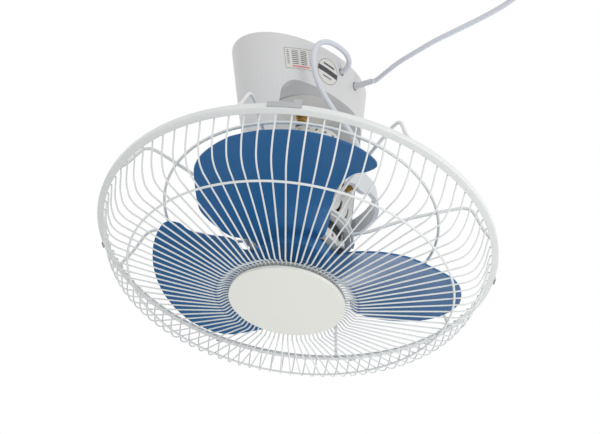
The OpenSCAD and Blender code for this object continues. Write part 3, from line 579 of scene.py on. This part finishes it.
class FAN_OT_stage(bpy.types.Operator):
    """Pale floor, soft studio lights and a white surround"""
    bl_idname = "fan.stage"
    bl_label = "Stage"

    def execute(self, context):
        sizes, _ = look()
        bm = bmesh.new()
        bmesh.ops.create_grid(bm, x_segments=1, y_segments=1, size=FLOOR_HALF)
        bmesh.ops.translate(bm, verts=bm.verts, vec=(0, 0, -sizes.floor))
        mesh = bpy.data.meshes.new("floor")
        bm.to_mesh(mesh)
        bm.free()
        floor = bpy.data.objects.new("floor", mesh)
        context.scene.collection.objects.link(floor)
        mat = bpy.data.materials.new("floor_paper")
        mat.use_nodes = True
        paper = mat.node_tree.nodes["Principled BSDF"]
        paper.inputs["Base Color"].default_value = (0.86, 0.86, 0.86, 1)
        paper.inputs["Roughness"].default_value = 0.9
        mesh.materials.append(mat)
        world = context.scene.world or bpy.data.worlds.new("surround")
        context.scene.world = world
        world.use_nodes = True
        n, link = world.node_tree.nodes, world.node_tree.links.new
        n.clear()
        out, mix = n.new("ShaderNodeOutputWorld"), n.new("ShaderNodeMixShader")
        soft, white = n.new("ShaderNodeBackground"), n.new("ShaderNodeBackground")
        soft.inputs["Color"].default_value = (1, 1, 0.99, 1)
        soft.inputs["Strength"].default_value = SOFT_LIGHT
        white.inputs["Color"].default_value = (1, 1, 1, 1)
        white.inputs["Strength"].default_value = 1.0
        path = n.new("ShaderNodeLightPath")
        seen = calc(world.node_tree, "MAXIMUM", path.outputs["Is Camera Ray"], path.outputs["Is Glossy Ray"])
        seen = calc(world.node_tree, "MAXIMUM", seen, path.outputs["Is Transmission Ray"])
        link(seen, mix.inputs["Fac"])
        link(soft.outputs[0], mix.inputs[1])
        link(white.outputs[0], mix.inputs[2])
        link(mix.outputs[0], out.inputs["Surface"])
        for name, place, size, power, color in LAMPS:
            lamp = bpy.data.lights.new(name, "AREA")
            lamp.shape = "DISK"
            lamp.size = size
            lamp.energy = power
            lamp.color = color
            obj = bpy.data.objects.new(name, lamp)
            obj.location = place
            obj.rotation_euler = (Vector(AIM) - Vector(place)).to_track_quat("-Z", "Y").to_euler()
            context.scene.collection.objects.link(obj)
        context.scene.view_settings.view_transform = "Standard"
        return {"FINISHED"}


# ---------------------------------------------------------------- cords

# The cords' holes in the canopy's wall, and the way out of each, in degrees from the wall's own
MAINS_HOLE, MOTOR_HOLE = (39, -56, -20.2), (6.7, -60.4, -17.5)
MAINS_DIR, MOTOR_DIR = 14, -8
OUTLET, OUTLET_DIR = Vector((265, -209.5, -14.2)), -52
MAINS_ROUTE = [(105.5, -41.5, -21), (118.5, -61, -21), (137, -81, -20.5), (155, -99, -19.5),
               (179.5, -118.5, -18), (200, -134.5, -16.6), (220, -152.5, -15.3), (233.5, -169, -14.4)]
LOOP_ROUTE = [(55.2, -42.6, -17.3), (57.8, -49.2, -15.8), (57.2, -56.6, -13.2), (53.2, -64.6, -10.8),
              (46.6, -71.8, -9.1), (38.8, -79.4, -8.9), (30.6, -86, -10.6), (22.8, -90.4, -14.8),
              (17, -91.6, -21.2), (13.8, -90.4, -30), (13, -87.6, -40.5), (15.2, -84, -54),
              (20, -80.5, -68), (26.6, -77, -82),
              (34, -73.6, -94), (42, -70.4, -104.6), (49.8, -67.2, -114.6), (56.4, -64.4, -124.4),
              (61.4, -62.4, -134.4), (64.2, -61.4, -144.6), (64.4, -61.6, -153.4), (61.6, -63.4, -160.4),
              (56.6, -66.7, -164.8)]
TAIL_ROUTE = [(-38, -80.6, 16), (-45.8, -74.6, 16.8), (-48.3, -66.8, 17.9), (-44.8, -60.6, 18.6)]
# The clip on the ring and the motor's gland: turns about the axes, radii and heights
CLIP_ANGLE, CLIP_RADIUS, CLIP_HALF, CLIP_HEIGHT = -105, 88.5, 5, 16.65
GLAND_ANGLE, GLAND_HEIGHT, GLAND_FACE, GLAND_END = -128, 70, 67, 60.4
# Distances from a hole's middle along its way out, and from the outlet's middle to the cord's end
SLEEVE_END, MAINS_STRAIGHT, WALL_OUT, WALL_IN, OUTLET_END = 23.8, 30, 2.6, -5, 36


def on_wall(hole, angle, out):
    """A point at the distance out from a hole in the canopy's wall."""
    x, y, z = hole
    return CANOPY @ Vector((x + out * math.sin(angle * RAD), y - out * math.cos(angle * RAD), z))


def at_outlet(out):
    """A point at the distance out from the ceiling outlet's middle, towards the canopy."""
    return OUTLET - out * Vector((math.cos(OUTLET_DIR * RAD), math.sin(OUTLET_DIR * RAD), 0))


def clip_mouth(k):
    """A point in the ring clip's channel: its middle at 0, and an end at 1 or -1."""
    return turned(CLIP_ANGLE, "Z") @ Vector((CLIP_RADIUS, k * CLIP_HALF, CLIP_HEIGHT))


def at_gland(r):
    """A point on the motor gland's axis at the radius r, in the ring's frame."""
    p = Vector((r * math.cos(GLAND_ANGLE * RAD), r * math.sin(GLAND_ANGLE * RAD), GLAND_HEIGHT))
    return turned(HEAD_REST, "Y") @ (p - Vector((0, 0, MOTOR_BACK)))


class FAN_OT_cords(bpy.types.Operator):
    """Mains cord to its ceiling outlet, and the motor cord's loop and tail"""
    bl_idname = "fan.cords"
    bl_label = "Cords"

    def execute(self, context):
        sizes, look_of = look()
        straight = [on_wall(MAINS_HOLE, MAINS_DIR, out) for out in (SLEEVE_END, MAINS_STRAIGHT)]
        mains = [p * MM for p in curved(straight + MAINS_ROUTE + [at_outlet(OUTLET_END)], 5)]
        piece = wires("mains_cord_sheath", [mains], sizes.mains / 2, look_of["cord"], BODY["mains_cord"],
                      ["mains_cord"], 5)
        loop = curved([on_wall(MOTOR_HOLE, MOTOR_DIR, WALL_OUT)] + LOOP_ROUTE + [RING @ clip_mouth(1)], 4)
        loop = [on_wall(MOTOR_HOLE, MOTOR_DIR, WALL_IN)] + loop + [RING @ clip_mouth(0)]
        loop = [p * MM for p in loop]
        piece = tube("motor_cord_sheath", loop, sizes.motor_cord / 2, look_of["cord"])
        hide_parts("motor_cord_loop")
        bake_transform(piece)
        tail = curved([clip_mouth(-1)] + TAIL_ROUTE + [at_gland(GLAND_FACE)], 5)
        tail = [(RING @ p) * MM for p in [clip_mouth(0)] + tail + [at_gland(GLAND_END)]]
        piece = tube("motor_cord_tail_sheath", tail, sizes.motor_cord / 2, look_of["cord"])
        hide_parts("motor_cord_tail")
        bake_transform(piece)
        return {"FINISHED"}


# ---------------------------------------------------------------- canopy and ceiling side

class FAN_OT_canopy(bpy.types.Operator):
    """Moulded canopy with its arch and two legs"""
    bl_idname = "fan.canopy"
    bl_label = "Canopy"

    def execute(self, context):
        _, look_of = look()
        eased("canopy", look_of["shell"], 1.2, 30, 4)
        return {"FINISHED"}


class FAN_OT_labels(bpy.types.Operator):
    """Nameplate and round label with plain rules"""
    bl_idname = "fan.labels"
    bl_label = "Labels"

    def execute(self, context):
        _, look_of = look()
        eased("nameplate", look_of["plate"], 0.1)
        eased("round_label", look_of["round"], 0.1)
        return {"FINISHED"}


# The collar round the mains cord in its hole, and the sleeve and its ribs outside, along the way out
COLLAR_BORE, COLLAR_RADIUS, COLLAR_BACK, COLLAR_FRONT, SLEEVE_BORE = 3.1, 5.45, -8, -0.7, 3.05
SLEEVE_RADIUS, SLEEVE_RIBS, RIB_START, RIB_PITCH, RIB_TAPER = 4.08, 6, 3, 3.2, 0.085
RELIEF_STEPS = 48


def sleeve_profile():
    """Section of the ribbed sleeve: each rib is a groove and a land, a little slimmer than the one before."""
    points = [(SLEEVE_BORE, -0.6), (4.1, -0.6), (SLEEVE_RADIUS, RIB_START)]
    for k in range(SLEEVE_RIBS):
        z, r = RIB_START + k * RIB_PITCH, SLEEVE_RADIUS - k * RIB_TAPER
        points += [(r - 0.35, z + 0.3), (r - 0.37, z + 1.1), (r - 0.03, z + 1.4), (r - 0.07, z + RIB_PITCH)]
    return points + [(3.5, SLEEVE_END - 0.5), (3.3, SLEEVE_END), (SLEEVE_BORE, SLEEVE_END)]


class FAN_OT_ceiling_side(bpy.types.Operator):
    """Ceiling plate, orbit drum, stud, bushes, outlet and what lies inside the canopy"""
    bl_idname = "fan.ceiling_side"
    bl_label = "Ceiling Side"

    def execute(self, context):
        _, look_of = look()
        for node, mat, ease in (
                ("ceiling_plate", "steel", 0.3), ("canopy_screw", "steel", 0.3), ("orbit_drum", "cover", 1.2),
                ("drum_screws", "steel", 0.2), ("orbit_stud", "brass", 0.5), ("stud_nut", "brass", 0.3),
                ("leg_bushes", "brass", 0.3), ("motor_cord_grommet", "grommet", 0.3),
                ("terminal_block", "grey", 0.4), ("capacitor", "cover", 0.8), ("cord_clamp", "grey", 0.4)):
            eased(node, look_of[mat], ease)
        for node, mat in (("ceiling_outlet", "shell"), ("outlet_gland", "grey")):
            NODES[node].data.materials.clear()
            NODES[node].data.materials.append(look_of[mat])
        exit_frame = CANOPY @ Matrix.Translation(MAINS_HOLE) @ turned(MAINS_DIR, "Z") @ turned(90, "X")
        collar = lathe([(COLLAR_BORE, COLLAR_BACK), (COLLAR_RADIUS, COLLAR_BACK),
                        (COLLAR_RADIUS, COLLAR_FRONT), (COLLAR_BORE, COLLAR_FRONT)], RELIEF_STEPS)
        settle(collar, "mains_relief_collar", look_of["grommet"], BODY["mains_strain_relief"], exit_frame,
               ease=0.3, nodes=("mains_strain_relief",))
        settle(lathe(sleeve_profile(), RELIEF_STEPS), "mains_relief_sleeve", look_of["relief"],
               BODY["mains_strain_relief"], exit_frame, nodes=("mains_strain_relief",))
        return {"FINISHED"}


# ---------------------------------------------------------------- gimbal

class FAN_OT_gimbal(bpy.types.Operator):
    """Gimbal ring with its ears, steel and brass pivots and cord clip"""
    bl_idname = "fan.gimbal"
    bl_label = "Gimbal"

    def execute(self, context):
        _, look_of = look()
        for node, mat, ease in (("gimbal_ring", "ring", 0.9), ("leg_pivot_pins", "steel", 0.5),
                                ("ring_pivots", "brass", 0.3), ("pivot_nuts", "brass", 0.5),
                                ("ring_cord_clip", "grey", 0.5)):
            eased(node, look_of[mat], ease)
        return {"FINISHED"}


# ---------------------------------------------------------------- motor

class FAN_OT_motor(bpy.types.Operator):
    """Motor covers, laminated core, windings, screws and gear case"""
    bl_idname = "fan.motor"
    bl_label = "Motor"

    def execute(self, context):
        _, look_of = look()
        for node, mat, ease in (
                ("front_cover", "cover", 0.6), ("rear_cover", "cover", 0.5), ("stator_core", "core", 0.3),
                ("windings", "copper", 2.5), ("through_screws", "steel", 0.2),
                ("shaft_bearings", "steel", 0.3), ("gear_case", "cover", 0.6), ("gear_plate", "steel", 0.2),
                ("gear_cover", "cover", 0.5),
                ("crank_bush", "brass", 0.2), ("motor_gland", "grey", 0.3), ("layshaft", "steel", 0.2),
                ("crank_shaft", "steel", 0.2), ("crank_arm", "steel", 0.4), ("crank_cup", "brass", 0.3)):
            eased(node, look_of[mat], ease)
        return {"FINISHED"}


# ---------------------------------------------------------------- rotor

# Each row of a blade: radius, angles of its leading and trailing edges in degrees, rise per radian and depth
BLADE_ROWS = [(40, -52, 38, 5, 15), (50, -57, 33, 5, 14.5), (60, -57, 32, 5, 14.2),
              (72, -53.5, 34.5, 15, 10.5), (82, -49.8, 35, 22.8, 7.8), (103, -46.7, 31.8, 29.6, 6.7),
              (128, -48.8, 26.6, 33.4, 9.2), (140, -53.4, 22.5, 34, 11), (156, -54, 17, 34, 14),
              (168, -48, 13.5, 34, 16), (178, -40, 10.5, 34, 17.6), (187, -31, 6, 34, 19.3),
              (194, -22, 0, 34, 20.6),
              (198, -13, -5, 34, 21.2)]
BLADES, BLADE_TURN, BLADE_COLUMNS, BLADE_CREASE, BLADE_EDGE = 3, -160.4, 56, 50, 0.8
# Section of the hub, from its front face round to the insert's bore, and its six ribs: place and size
HUB_SECTION = [(17, -25), (38, -25), (42.5, -24.6), (45, -23), (46, -20.5), (46, -8), (41.8, -8),
               (41.8, -15.5), (43, -15.5), (43, -22), (17, -22), (17, -8), (13.2, -8), (13.2, -23.5),
               (4.4, -23.5), (4.4, -25)]
HUB_RIBS, HUB_RIB_PLACE, HUB_RIB_SIZE, HUB_CREASE = 6, (29.8, 0, -19.6), (26.2, 2.4, 6.4), 30


def blade_sheet(k):
    """The middle surface of blade k: a grid whose rows follow BLADE_ROWS outwards from the hub."""
    rows = curved(BLADE_ROWS, 8)
    last = len(rows) - 1
    bm = bmesh.new()
    bmesh.ops.create_grid(bm, x_segments=BLADE_COLUMNS, y_segments=last, size=0.5)
    for v in bm.verts:
        r, lead, trail, rise, depth = rows[round((v.co.y + 0.5) * last)]
        # columns crowd towards the two edges, so that the tip stays round
        a = lead + (trail - lead) * (0.5 - 0.5 * math.cos((v.co.x + 0.5) * math.pi))
        phi = (BLADE_TURN + 360 / BLADES * k - a) * RAD
        v.co = (r * math.cos(phi), r * math.sin(phi), -(depth + rise * a * RAD))
    return bm


class FAN_OT_rotor(bpy.types.Operator):
    """Three swept blades on their hub, with the shaft, insert and spinner nut"""
    bl_idname = "fan.rotor"
    bl_label = "Rotor"

    def execute(self, context):
        sizes, look_of = look()
        for k in range(BLADES):
            piece = settle(blade_sheet(k), "blade_%d" % (k + 1), look_of["blade"], "rotor", HEAD,
                           BLADE_CREASE)
            thick = piece.modifiers.new("thickness", "SOLIDIFY")
            thick.thickness = sizes.blade
            thick.offset = 0
            soft = piece.modifiers.new("edge", "BEVEL")
            soft.width = BLADE_EDGE * MM
            soft.segments = 3
            soft.limit_method = "ANGLE"
            soft.angle_limit = BLADE_CREASE * RAD
            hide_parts("blades")
        settle(lathe(HUB_SECTION, 96), "blade_hub", look_of["blade"], "rotor", HEAD, HUB_CREASE, ease=0.4,
               nodes=("blades",))
        ribs = bmesh.new()
        for k in range(HUB_RIBS):
            place = turned(360 / HUB_RIBS * k, "Z") @ Matrix.Translation(HUB_RIB_PLACE)
            bmesh.ops.create_cube(ribs, size=1, matrix=place @ Matrix.Diagonal((*HUB_RIB_SIZE, 1)))
        settle(ribs, "blade_hub_ribs", look_of["blade"], "rotor", HEAD, HUB_CREASE, ease=0.3,
               nodes=("blades",))
        for node, mat, ease in (("shaft", "steel", 0.3), ("motor_rotor", "core", 0.3),
                                ("blade_insert", "steel", 0.3), ("spinner_nut", "nut", 1.0)):
            eased(node, look_of[mat], ease)
        return {"FINISHED"}


# ---------------------------------------------------------------- guard

# The rim's wires, the band's sheet and back edge, and the room between them and at the end of a wire
RIM_WIRE, BAND_SHEET, BAND_BACK, WIRE_ROOM, WIRE_SINK = 2.2, 0.7, -5, 0.15, 0.2
BAND_STEPS, BAND_CREASE = 240, 50
# Radius, wire and depth of the two rings that cross the spokes and the ribs
FRONT_RING, REAR_RING = (178, 2.4, -58.95), (161, 3.4, 38.9)
FIRST_SPOKE, FIRST_RIB = GUARD_TURN - 2.1, GUARD_TURN - 14.5


def rim_places(sizes):
    """Radius of the two rim wires, their depths in the band, and the front edge of the band."""
    inset = BAND_SHEET + WIRE_ROOM + RIM_WIRE / 2
    front = BAND_BACK - sizes.rim_width / MM
    return sizes.rim / MM - inset, front + inset, BAND_BACK - inset, front


def spoke_line(sizes):
    """Radius and depth of a spoke's bends, from the rim wire to the badge's ring."""
    wire, z, _, front = rim_places(sizes)
    lip = (sizes.rim - sizes.rim_lip) / MM
    return [(wire - RIM_WIRE / 2 - WIRE_SINK, z), (lip - 1, z), (lip - 2, front - 1.1), (213.6, -19),
            (211.5, -28), (208.8, -36.2), (205, -43.5), (201.6, -48.6), (197, -52), (192, -54.2),
            (186, -55.4), (134, -63), (81, -70.6), (77.5, -70.9), (74.6, -70.2), (72, -68.4),
            (69.4, -66.8), (66, -66), (61, -65.8)]


def rib_line(sizes):
    """Radius and depth of a rib's bends, from the rim wire to the ring on the motor."""
    first = rim_places(sizes)[0] - RIM_WIRE / 2 - WIRE_SINK - sizes.rib / MM / 2
    return [(first, BAND_BACK - 3), (first - 0.3, BAND_BACK + 2.5), (212, 10), (207, 22), (202.5, 34),
            (199, 41), (194, 45), (187, 46.4), (179, 45.6), (161, 42.7), (130, 36.6), (102, 27.5),
            (86, 21.8), (78, 19.9), (70, 19.3), (64.6, 19.2)]


def guard_runs(line, count, first):
    """A bent wire's points, repeated round the guard from the angle first."""
    places = [HEAD @ turned(first - k * 360 / count, "Z") for k in range(count)]
    return [[(place @ p) * MM for p in line] for place in places]


def guard_hoop(name, mat, node, radius, wire, z):
    """A wire ring of the guard, which stands for a node."""
    settle(hoop(radius, wire, z), name, mat, "motor_and_guard", HEAD, nodes=(node,))


def band_section(sizes):
    """Section of the rolled band: rounded front and back edges, a deep front lip and a short back one."""
    r, t = sizes.rim / MM, BAND_SHEET
    lip = r - sizes.rim_lip / MM
    f, b = rim_places(sizes)[3], BAND_BACK
    return [(lip, f), (r - 0.9, f), (r - 0.45, f + 0.12), (r - 0.12, f + 0.45), (r, f + 0.9),
            (r, b - 0.9), (r - 0.12, b - 0.45), (r - 0.45, b - 0.12), (r - 0.9, b), (r - 3, b),
            (r - 3, b - t), (r - t - 0.25, b - t), (r - t, b - t - 0.25),
            (r - t, f + t + 0.25), (r - t - 0.25, f + t), (lip, f + t)]


class FAN_OT_front_guard(bpy.types.Operator):
    """Front guard: bent spokes welded to a ring and the rim wire"""
    bl_idname = "fan.front_guard"
    bl_label = "Front Guard"

    def execute(self, context):
        sizes, look_of = look()
        line = curved([(r, 0, z) for r, z in spoke_line(sizes)], 3)
        wires("front_spoke_wires", guard_runs(line, sizes.spokes, FIRST_SPOKE), sizes.spoke / 2,
              look_of["wire"], "motor_and_guard", ["front_spokes"], 2)
        guard_hoop("front_ring_wire", look_of["wire"], "front_ring", *FRONT_RING)
        radius, z, _, _ = rim_places(sizes)
        guard_hoop("front_rim_hoop", look_of["wire"], "front_rim_wire", radius, RIM_WIRE, z)
        eased("badge_ring", look_of["wire"], 0.3)
        return {"FINISHED"}


class FAN_OT_rear_guard(bpy.types.Operator):
    """Rear guard: eight heavy ribs, their ring and the ring on the motor"""
    bl_idname = "fan.rear_guard"
    bl_label = "Rear Guard"

    def execute(self, context):
        sizes, look_of = look()
        line = curved([(r, 0, z) for r, z in rib_line(sizes)], 5)
        wires("rear_rib_wires", guard_runs(line, sizes.ribs, FIRST_RIB), sizes.rib / 2,
              look_of["wire"], "motor_and_guard", ["rear_ribs"], 4)
        guard_hoop("rear_ring_wire", look_of["wire"], "rear_ring", *REAR_RING)
        radius, _, z, _ = rim_places(sizes)
        guard_hoop("rear_rim_hoop", look_of["wire"], "rear_rim_wire", radius, RIM_WIRE, z)
        eased("motor_ring", look_of["wire"], 0.3)
        return {"FINISHED"}


class FAN_OT_rim(bpy.types.Operator):
    """Rolled rim band with its clips"""
    bl_idname = "fan.rim"
    bl_label = "Rim Band"

    def execute(self, context):
        sizes, look_of = look()
        settle(lathe(band_section(sizes), BAND_STEPS), "rim_band_rolled", look_of["wire"], "motor_and_guard",
               HEAD, BAND_CREASE, nodes=("rim_band",))
        eased("rim_clips", look_of["clip"], 0.3)
        return {"FINISHED"}


class FAN_OT_badge(bpy.types.Operator):
    """Plain badge with a turned edge, and its screws"""
    bl_idname = "fan.badge"
    bl_label = "Badge"

    def execute(self, context):
        _, look_of = look()
        eased("badge", look_of["badge"], 0.6, segments=4)
        eased("badge_screws", look_of["steel"], 0.3)
        return {"FINISHED"}


STEPS = (FAN_OT_camera, FAN_OT_cords, FAN_OT_stage, FAN_OT_canopy, FAN_OT_labels, FAN_OT_ceiling_side,
         FAN_OT_gimbal, FAN_OT_motor, FAN_OT_rotor, FAN_OT_front_guard, FAN_OT_rear_guard, FAN_OT_rim,
         FAN_OT_badge)


class FAN_PT_panel(bpy.types.Panel):
    """Lists the fan's pieces, sizes and colours"""
    bl_idname = "FAN_PT_panel"
    bl_label = "Orbital Ceiling Fan"
    bl_space_type = "VIEW_3D"
    bl_region_type = "UI"
    bl_category = "Fan"

    def draw(self, context):
        col = self.layout.column()
        for name in FanSizes.__annotations__:
            col.prop(context.scene.fan_sizes, name)
        for name in FanColours.__annotations__:
            col.prop(context.scene.fan_colours, name)
        for step in STEPS:
            col.operator(step.bl_idname)


CLASSES = (FanSizes, FanColours) + STEPS + (FAN_PT_panel,)


def register():
    for cls in CLASSES:
        bpy.utils.register_class(cls)
    bpy.types.Scene.fan_sizes = PointerProperty(type=FanSizes)
    bpy.types.Scene.fan_colours = PointerProperty(type=FanColours)


def unregister():
    del bpy.types.Scene.fan_sizes, bpy.types.Scene.fan_colours
    for cls in reversed(CLASSES):
        bpy.utils.unregister_class(cls)


def main():
    register()
    for step in STEPS:
        group, name = step.bl_idname.split(".")
        getattr(getattr(bpy.ops, group), name)()


if __name__ == "__main__":
    main()
